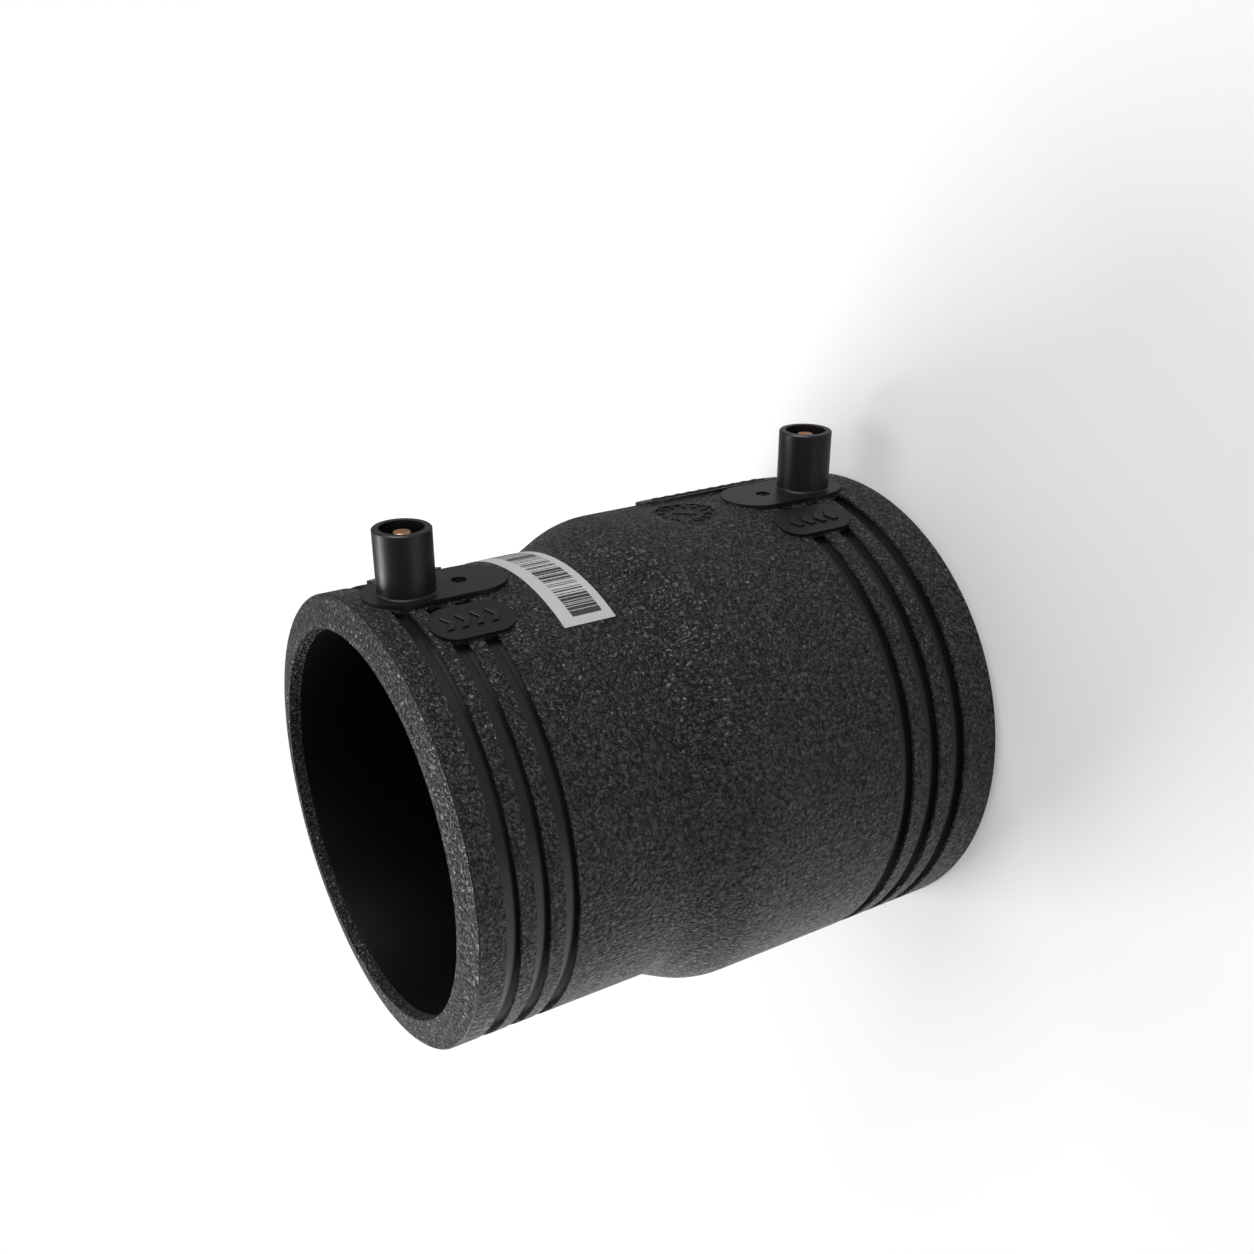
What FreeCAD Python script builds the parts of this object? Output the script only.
"""Electrofusion reducer, 125 to 110 mm, for polyethylene pressure pipe.

The bore axis is Z. The large socket's mouth is at z = 0 and the small socket's mouth is at
z = total_length. Both terminal shrouds point to -Y. Lengths are in millimetres.
"""
import FreeCAD, Part
import math
import os
from collections import namedtuple

Vector = FreeCAD.Vector

# Sockets: the large one stands at the bottom, the small one on top
large_bore_radius = 63.0
large_wall = 9.2
large_socket_depth = 77.1   # from the mouth to the pipe stop
large_stop_height = 10.5    # how far the stop stands in from the bore
small_bore_radius = 55.4
small_wall = 9.7
small_socket_depth = 70.0
small_stop_height = 8.4
stop_edge_chamfer = 1.5
cone_length = 24.5          # inside passage between the two stops
lead_in_depth = 3.3
lead_in_rise = 0.6          # radial widening of a bore at its mouth
face_land = 2.2             # flat ring round a mouth; the end face slopes back outside it
face_crown = 1.8            # how far the outer edge of the end face lies behind its mouth
face_chamfer = 0.5

# Outside taper between the two sockets
taper_foot_to_stop = 2.5    # from the taper's foot back to the small pipe stop
taper_length = 14.5
taper_foot_radius = 2.5
taper_shoulder_radius = 25.0

# Grip grooves, measured from the mouths
groove_count = 3
groove_depth = 1.9
large_groove_start = 14.5
large_groove_pitch = 9.95
large_groove_width = 4.9
small_groove_start = 9.3
small_groove_pitch = 8.5
small_groove_width = 4.2

# Terminals: flat pad, shroud, contact pin and the fusion indicator beside it
large_terminal_depth = 21.65  # from the mouth
small_terminal_depth = 17.75
pad_half_width = 10.3
pad_rise = 0.8              # pad top above the cylinder's crest
pad_outer_overhang = 1.85   # from the terminal to the centre of the pad's outer round end
pad_inner_reach = 18.15     # from the terminal to the centre of its inner round end
pad_root = 3.0              # how deep the pads are rooted below the groove floors
shroud_outer_radius = 7.85
shroud_bore_radius = 5.95
shroud_height = 17.2        # above the pad
shroud_floor_height = 1.2   # above the pad
shroud_foot_fillet = 0.5
shroud_rim_chamfer = 0.3
pin_radius = 2.35           # the 4.7 mm contact of the common terminal
pin_below_rim = 1.15
pin_tip_chamfer = 0.2
pin_collar_radius = 3.6     # collar moulded in flush with the shroud's floor
pin_collar_height = 1.6
pin_tail_radius = 1.5
pin_tail_seat = 0.8         # how deep the tail sits in the coil
indicator_distance = 15.2   # from the terminal, inwards
indicator_well_radius = 2.15
indicator_clearance = 0.15
indicator_recess = 2.4      # pin's top below the pad
indicator_chamfer = 0.3

# Raised marking plaques, two beside each terminal pad; depths are from the mouth to the middle
plaque_offset = 19.9        # from the terminal line to the plaque's middle, across
plaque_half_width = 6.45
plaque_rise = 0.8
large_near_plaque_depth = 34.2
large_near_plaque_length = 25.0
large_far_plaque_depth = 42.7
large_far_plaque_length = 51.2
small_near_plaque_depth = 26.4
small_near_plaque_length = 23.6
small_far_plaque_depth = 26.0
small_far_plaque_length = 21.4

# Mould date dial, sunk in the large end
dial_depth_from_mouth = 65.4
dial_radius = 8.8
dial_recess = 0.6

# Heating coils: turns of coated wire side by side, moulded in under the bore
coil_turns = 7
coil_pitch = 3.1
coil_thickness = 1.6
coil_skin = 0.7             # polyethylene between the coil and the bore
coil_start_before_pin = 4.0
link_wire_radius = 0.6
link_bend_radius = 6.0

# Printed label round the small end, in the band between the taper and the terminal pad
label_taper_gap = 2.8       # from the end of the taper's foot fillet
label_pad_gap = 2.3
label_thickness = 0.15
label_clearance = 0.05      # glue line under the film
label_start_angle = 26.4    # from the terminal line, towards -X
label_end_angle = -40.0

same_place = 1e-4           # tolerance for finding an edge by its radius and place

total_length = large_socket_depth + cone_length + small_socket_depth

Socket = namedtuple("Socket", [
    "name", "mouth_z", "inward", "bore_radius", "outer_radius", "depth", "stop_radius",
    "groove_start", "groove_pitch", "groove_width", "terminal_depth",
    "near_plaque_depth", "near_plaque_length", "far_plaque_depth", "far_plaque_length",
])

large = Socket(
    "large", 0.0, 1, large_bore_radius, large_bore_radius + large_wall, large_socket_depth,
    large_bore_radius - large_stop_height,
    large_groove_start, large_groove_pitch, large_groove_width, large_terminal_depth,
    large_near_plaque_depth, large_near_plaque_length, large_far_plaque_depth, large_far_plaque_length,
)
small = Socket(
    "small", total_length, -1, small_bore_radius, small_bore_radius + small_wall, small_socket_depth,
    small_bore_radius - small_stop_height,
    small_groove_start, small_groove_pitch, small_groove_width, small_terminal_depth,
    small_near_plaque_depth, small_near_plaque_length, small_far_plaque_depth, small_far_plaque_length,
)
sockets = (large, small)


def station(socket, depth):
    """Height on the Z axis of a place that lies so deep behind the socket's mouth."""
    return socket.mouth_z + socket.inward * depth


def pad_top(socket):
    return socket.outer_radius + pad_rise


def shroud_rim(socket):
    return pad_top(socket) + shroud_height


def coil_inner_radius(socket):
    return socket.bore_radius + coil_skin


def coil_outer_radius(socket):
    return coil_inner_radius(socket) + coil_thickness


def coil_span(socket):
    """Depths of the coil's outer and inner ends."""
    start = socket.terminal_depth - coil_start_before_pin
    return start, start + coil_turns * coil_pitch


def turned(points):
    """Solid of revolution about Z from a closed outline of (radius, height) points."""
    corners = [Vector(radius, 0, height) for radius, height in points]
    outline = Part.makePolygon(corners + corners[:1])
    return Part.Face(outline).revolve(Vector(0, 0, 0), Vector(0, 0, 1), 360)


def ring(socket, inner, outer, depth, length):
    """Turned ring between two depths of a socket."""
    z = min(station(socket, depth), station(socket, depth + length))
    return turned([(inner, z), (outer, z), (outer, z + length), (inner, z + length)])


def rounded(solid, radius, height, fillet):
    """Fillet the turned edges of one radius and height."""
    edges = []
    for edge in solid.Edges:
        curve = edge.Curve
        if isinstance(curve, Part.Circle) and abs(curve.Radius - radius) < same_place:
            if abs(curve.Center.z - height) < same_place and abs(curve.Axis.z) > 0.999:
                edges.append(edge)
    return solid.makeFillet(fillet, edges)


def cylinder_outwards(radius, start, end, z):
    """Cylinder that points to -Y, between two distances from the bore axis."""
    return Part.makeCylinder(radius, end - start, Vector(0, -start, z), Vector(0, -1, 0))


def obround(half_width, z_low, z_high, start, end, angle):
    """Round-ended block along Z, its end centres at z_low and z_high, between two distances
    from the axis, turned about Z from the terminal line towards -X."""
    w = half_width
    side_a = Part.LineSegment(Vector(w, -start, z_low), Vector(w, -start, z_high))
    cap_a = Part.Arc(Vector(w, -start, z_high), Vector(0, -start, z_high + w), Vector(-w, -start, z_high))
    side_b = Part.LineSegment(Vector(-w, -start, z_high), Vector(-w, -start, z_low))
    cap_b = Part.Arc(Vector(-w, -start, z_low), Vector(0, -start, z_low - w), Vector(w, -start, z_low))
    outline = Part.Wire([part.toShape() for part in (side_a, cap_a, side_b, cap_b)])
    block = Part.Face(outline).extrude(Vector(0, start - end, 0))
    block.rotate(Vector(0, 0, 0), Vector(0, 0, 1), -angle)
    return block


def taper_foot_z():
    return station(small, small.depth) + taper_foot_to_stop


def taper_shoulder_z():
    return taper_foot_z() - taper_length


def taper_foot_fillet_end():
    """Where the fillet at the taper's foot runs out on the small cylinder."""
    slope = math.atan(abs(large.outer_radius - small.outer_radius) / taper_length)
    return taper_foot_z() + taper_foot_radius * math.tan(slope / 2)


def shell_blank():
    """Outside form: two cylinders with a taper between them, and sloping end faces."""
    points = [(0, 0)]
    points += end_corners(large)
    points += [(large.outer_radius, taper_shoulder_z()), (small.outer_radius, taper_foot_z())]
    points += reversed(end_corners(small))
    points += [(0, total_length)]
    blank = turned(points)
    blank = rounded(blank, large.outer_radius, taper_shoulder_z(), taper_shoulder_radius)
    return rounded(blank, small.outer_radius, taper_foot_z(), taper_foot_radius)


def end_corners(socket):
    """Outline of a socket's end from its mouth edge to its outside, mouth first."""
    mouth_edge = socket.bore_radius + lead_in_rise
    return [
        (mouth_edge, station(socket, 0)),
        (mouth_edge + face_land, station(socket, 0)),
        (socket.outer_radius - face_chamfer, station(socket, face_crown)),
        (socket.outer_radius, station(socket, face_crown + face_chamfer)),
    ]


def stop_corners(socket):
    """Outline of a pipe stop from the bore inwards, its edge chamfered."""
    return [
        (socket.bore_radius, station(socket, socket.depth)),
        (socket.stop_radius + stop_edge_chamfer, station(socket, socket.depth)),
        (socket.stop_radius, station(socket, socket.depth + stop_edge_chamfer)),
    ]


def hollow():
    """What the bores take away: sockets with their lead-ins, pipe stops and the cone between."""
    points = [(0, 0), (large.bore_radius + lead_in_rise, 0)]
    points += [(large.bore_radius, station(large, lead_in_depth))]
    points += stop_corners(large)
    points += reversed(stop_corners(small))
    points += [(small.bore_radius, station(small, lead_in_depth))]
    points += [(small.bore_radius + lead_in_rise, total_length), (0, total_length)]
    return turned(points)


def grooves(socket):
    floor = socket.outer_radius - groove_depth
    beyond = socket.outer_radius + groove_depth
    rings = []
    for index in range(groove_count):
        depth = socket.groove_start + index * socket.groove_pitch
        rings.append(ring(socket, floor, beyond, depth, socket.groove_width))
    return rings


def pad_inner_end(socket):
    """Depth of the pad's inner tip from the mouth."""
    return socket.terminal_depth + pad_inner_reach + pad_half_width


def pad(socket):
    """Flat terminal pad, rooted in the wall under the grooves."""
    ends = (station(socket, socket.terminal_depth - pad_outer_overhang),
            station(socket, socket.terminal_depth + pad_inner_reach))
    root = socket.outer_radius - groove_depth - pad_root
    return obround(pad_half_width, min(ends), max(ends), root, pad_top(socket), 0)


def shroud(socket):
    """Tube round the contact pin, filleted into the pad at its foot."""
    z = station(socket, socket.terminal_depth)
    foot = pad_top(socket)
    tube = cylinder_outwards(shroud_outer_radius, foot, shroud_rim(socket), z)
    return tube.makeChamfer(shroud_rim_chamfer, [top_edge(tube)])


def top_edge(solid):
    """The round edge furthest out along -Y."""
    return min((e for e in solid.Edges if isinstance(e.Curve, Part.Circle)), key=lambda e: e.Curve.Center.y)


def shroud_floor(socket):
    return pad_top(socket) + shroud_floor_height


def shroud_well(socket):
    z = station(socket, socket.terminal_depth)
    return cylinder_outwards(shroud_bore_radius, shroud_floor(socket), shroud_rim(socket), z)


def plaque(socket, depth, length, side):
    """Flat raised plaque; side is 1 beside the terminal towards -X and -1 opposite."""
    angle = side * math.degrees(math.asin(plaque_offset / socket.outer_radius))
    half_run = length / 2 - plaque_half_width
    z = station(socket, depth)
    root = socket.outer_radius - groove_depth - pad_root
    top = socket.outer_radius + plaque_rise
    return obround(plaque_half_width, z - half_run, z + half_run, root, top, angle)


def dial_sink():
    """Round sink of the date dial, its floor curved like the wall."""
    z = station(large, dial_depth_from_mouth)
    low = z - 2 * dial_radius
    high = z + 2 * dial_radius
    outside = large.outer_radius + dial_recess
    floor = large.outer_radius - dial_recess
    skin = turned([(floor, low), (outside, low), (outside, high), (floor, high)])
    return skin.common(cylinder_outwards(dial_radius, 0, outside, z))


def pin_tail(socket):
    """The part of a contact under its collar, down into its seat in the coil."""
    z = station(socket, socket.terminal_depth)
    foot = coil_outer_radius(socket) - pin_tail_seat
    return cylinder_outwards(pin_tail_radius, foot, shroud_floor(socket) - pin_collar_height, z)


def contact_pin(socket):
    """Turned contact, from the coil up to just below the shroud's rim, with its moulded-in collar."""
    z = station(socket, socket.terminal_depth)
    floor = shroud_floor(socket)
    shank = cylinder_outwards(pin_radius, floor, shroud_rim(socket) - pin_below_rim, z)
    shank = shank.makeChamfer(pin_tip_chamfer, [top_edge(shank)])
    collar = cylinder_outwards(pin_collar_radius, floor - pin_collar_height, floor, z)
    return shank.fuse([collar, pin_tail(socket)]).removeSplitter()


def indicator_floor(socket):
    return coil_outer_radius(socket) + coil_skin


def indicator_well(socket):
    z = station(socket, socket.terminal_depth + indicator_distance)
    return cylinder_outwards(indicator_well_radius, indicator_floor(socket), pad_top(socket), z)


def indicator_pin(socket):
    """Loose-fitting pin that melt lifts in its well once the joint has fused."""
    z = station(socket, socket.terminal_depth + indicator_distance)
    top = pad_top(socket) - indicator_recess
    pin = cylinder_outwards(indicator_well_radius - indicator_clearance, indicator_floor(socket), top, z)
    return pin.makeChamfer(indicator_chamfer, [top_edge(pin)])


def coil_pocket(socket):
    start, end = coil_span(socket)
    return ring(socket, coil_inner_radius(socket), coil_outer_radius(socket), start, end - start)


def heating_coil(socket):
    """Turns of coated wire side by side, as the sleeve that they fill."""
    return coil_pocket(socket).cut(pin_tail(socket))


def link_wire():
    """Wire between the inner ends of the two coils, bent through the wall of the taper."""
    low_z = station(large, coil_span(large)[1])
    high_z = station(small, coil_span(small)[1])
    low_y = -(coil_inner_radius(large) + coil_thickness / 2)
    high_y = -(coil_inner_radius(small) + coil_thickness / 2)
    bend_low = Vector(0, low_y, taper_shoulder_z())
    bend_high = Vector(0, high_y, taper_foot_z())
    path = bent_path([Vector(0, low_y, low_z), bend_low, bend_high, Vector(0, high_y, high_z)])
    section = Part.Wire(Part.makeCircle(link_wire_radius, Vector(0, low_y, low_z), Vector(0, 0, 1)))
    return path.makePipeShell([section], True, False)


def bent_path(corners):
    """Straight runs joined by tangent arcs of link_bend_radius."""
    edges = []
    start = corners[0]
    for before, corner, after in zip(corners, corners[1:], corners[2:]):
        arriving = (corner - before).normalize()
        leaving = (after - corner).normalize()
        turn = arriving.getAngle(leaving)
        tangent = link_bend_radius * math.tan(turn / 2)
        arc_start = corner - arriving * tangent
        arc_end = corner + leaving * tangent
        inward = (leaving - arriving).normalize()
        sag = link_bend_radius * (1 / math.cos(turn / 2) - 1)
        edges.append(Part.LineSegment(start, arc_start).toShape())
        edges.append(Part.Arc(arc_start, corner + inward * sag, arc_end).toShape())
        start = arc_end
    edges.append(Part.LineSegment(start, corners[-1]).toShape())
    return Part.Wire(edges)


def barcode_label():
    """Thin printed band that lies on the small cylinder."""
    inner = small.outer_radius + label_clearance
    low = taper_foot_fillet_end() + label_taper_gap
    high = station(small, pad_inner_end(small)) - label_pad_gap
    sweep = label_start_angle - label_end_angle
    base = Vector(0, 0, low)
    band = Part.makeCylinder(inner + label_thickness, high - low, base, Vector(0, 0, 1), sweep)
    band = band.cut(Part.makeCylinder(inner, high - low, base))
    # makeCylinder starts at +X and turns towards +Y; the terminal line is at -90 degrees
    band.rotate(Vector(0, 0, 0), Vector(0, 0, 1), -90 - label_start_angle)
    return band


def reducer_body():
    """The polyethylene moulding, with the seats of everything that is moulded or set into it."""
    body = shell_blank()
    body = body.cut(Part.Compound([cut for socket in sockets for cut in grooves(socket)]))
    for socket in sockets:
        body = body.fuse([
            pad(socket),
            shroud(socket),
            plaque(socket, socket.near_plaque_depth, socket.near_plaque_length, 1),
            plaque(socket, socket.far_plaque_depth, socket.far_plaque_length, -1),
        ])
    body = body.removeSplitter()
    body = rounded_feet(body)
    taken = [hollow(), dial_sink(), link_wire()]
    for socket in sockets:
        taken += [shroud_well(socket), indicator_well(socket), coil_pocket(socket), contact_pin(socket)]
    return body.cut(taken)


def rounded_feet(body):
    """Fillet each shroud where it stands on its pad."""
    feet = []
    for edge in body.Edges:
        curve = edge.Curve
        if isinstance(curve, Part.Circle) and abs(curve.Radius - shroud_outer_radius) < same_place:
            for socket in sockets:
                if abs(curve.Center.y + pad_top(socket)) < same_place:
                    feet.append(edge)
    return body.makeFillet(shroud_foot_fillet, feet)


def all_nodes():
    nodes = {"reducer_body": reducer_body(), "link_wire": link_wire(), "barcode_label": barcode_label()}
    for socket in sockets:
        nodes[socket.name + "_contact_pin"] = contact_pin(socket)
        nodes[socket.name + "_heating_coil"] = heating_coil(socket)
        nodes[socket.name + "_fusion_indicator"] = indicator_pin(socket)
    return nodes


def write_steps():
    os.makedirs("parts", exist_ok=True)
    for name, shape in all_nodes().items():
        solid = shape if len(shape.Solids) != 1 else shape.Solids[0]
        solid.exportStep("parts/" + name + ".step")
        print(name, "solids", len(shape.Solids), "valid", shape.isValid(), "volume", round(shape.Volume, 1))


write_steps()
